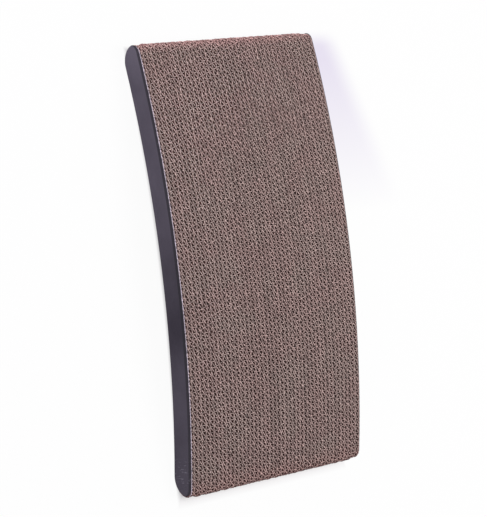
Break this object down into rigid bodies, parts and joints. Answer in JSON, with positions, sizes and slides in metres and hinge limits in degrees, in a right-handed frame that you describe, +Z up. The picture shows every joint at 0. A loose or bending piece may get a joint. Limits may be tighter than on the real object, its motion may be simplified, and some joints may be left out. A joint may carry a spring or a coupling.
{
  "type": "cardboard cat scratcher",
  "caption": "Bent scratching pad of corrugated board strips glued face to face, with rounded ends and a dark card facing on each long side.",
  "frame": {"origin": "on the floor, midway along the length and midway across the stack of strips", "axes": "+X along the length, +Y across the stack of strips, +Z up; the scratching face bulges towards +Z"},
  "size_m": [0.5734, 0.2828, 0.0601],
  "materials": {
    "corrugated_board": "matte kraft board, cut edges showing",
    "dark_card": "smooth charcoal card with a low sheen"
  },
  "bodies": {
    "root": {"strip_01": "corrugated_board", "strip_02": "corrugated_board", "strip_03": "corrugated_board", "strip_04": "corrugated_board", "strip_05": "corrugated_board", "strip_06": "corrugated_board", "strip_07": "corrugated_board", "strip_08": "corrugated_board", "strip_09": "corrugated_board", "strip_10": "corrugated_board", "strip_11": "corrugated_board", "strip_12": "corrugated_board", "strip_13": "corrugated_board", "strip_14": "corrugated_board", "strip_15": "corrugated_board", "strip_16": "corrugated_board", "strip_17": "corrugated_board", "strip_18": "corrugated_board", "strip_19": "corrugated_board", "strip_20": "corrugated_board", "strip_21": "corrugated_board", "strip_22": "corrugated_board", "strip_23": "corrugated_board", "strip_24": "corrugated_board", "strip_25": "corrugated_board", "strip_26": "corrugated_board", "strip_27": "corrugated_board", "strip_28": "corrugated_board", "strip_29": "corrugated_board", "strip_30": "corrugated_board", "strip_31": "corrugated_board", "strip_32": "corrugated_board", "strip_33": "corrugated_board", "strip_34": "corrugated_board", "strip_35": "corrugated_board", "strip_36": "corrugated_board", "strip_37": "corrugated_board", "strip_38": "corrugated_board", "strip_39": "corrugated_board", "strip_40": "corrugated_board", "strip_41": "corrugated_board", "strip_42": "corrugated_board", "strip_43": "corrugated_board", "strip_44": "corrugated_board", "left_cover": "dark_card", "right_cover": "dark_card"}
  },
  "joints": []
}
